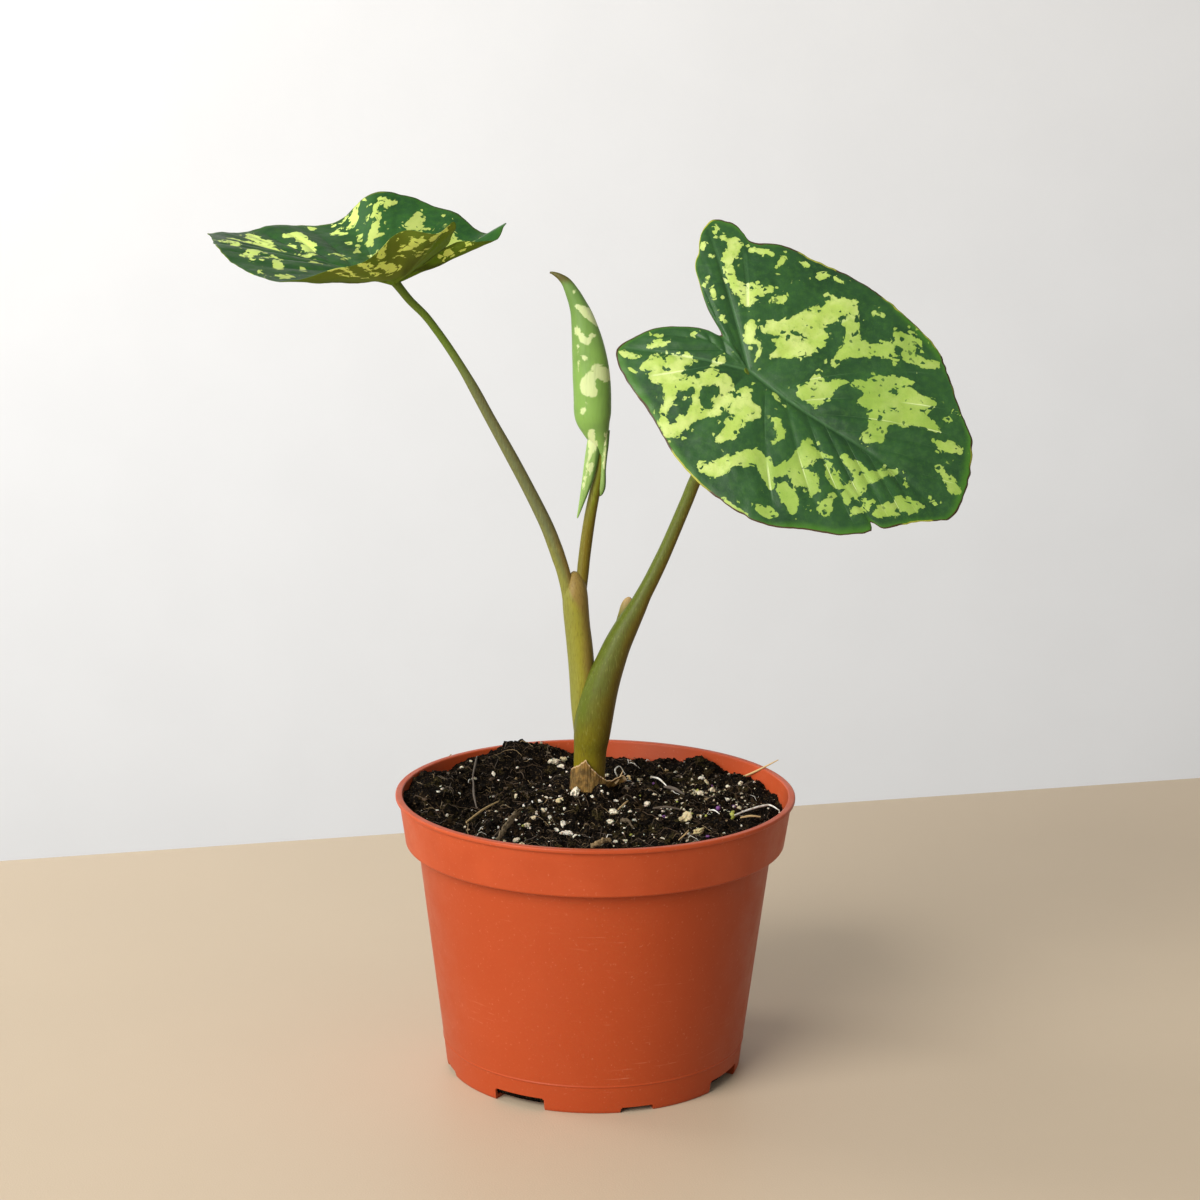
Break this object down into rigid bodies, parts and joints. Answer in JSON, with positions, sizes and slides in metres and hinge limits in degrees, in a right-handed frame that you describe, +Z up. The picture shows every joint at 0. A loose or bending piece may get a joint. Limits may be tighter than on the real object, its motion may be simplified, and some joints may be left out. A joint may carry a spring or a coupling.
{
  "type": "potted alocasia",
  "caption": "Young alocasia with mottled arrow-shaped leaves and a rolled new leaf on sheathing stems, growing in a terracotta-coloured moulded nursery pot filled with potting mix.",
  "frame": {"origin": "centre of the pot's underside", "axes": "+Z up along the pot's axis, -Y towards the plant's front, +X to the right of the front view, towards the blade that faces the front"},
  "size_m": [0.3017, 0.16, 0.3468],
  "materials": {
    "terracotta_plastic": "satin moulded plastic with light scuffs",
    "potting_mix": "loose dark peat mix with perlite, bark and fibres",
    "corm_skin": "rough brown skin",
    "dry_sheath": "dry, fibrous and torn",
    "green_petiole": "smooth, green turning brown on one side",
    "olive_petiole": "smooth, yellowish olive below and grey olive above",
    "young_petiole": "smooth and slightly glossy",
    "mottled_leaf": "satin, dark green with yellow-green patches",
    "young_leaf": "satin, pale green with cream patches"
  },
  "bodies": {
    "root": {"pot": "terracotta_plastic", "potting_soil": "potting_mix", "corm": "corm_skin", "papery_sheath": "dry_sheath", "petiole_right": "green_petiole", "petiole_left": "olive_petiole", "petiole_new": "young_petiole", "leaf_right": "mottled_leaf", "leaf_left": "mottled_leaf", "leaf_new": "young_leaf"}
  },
  "joints": []
}
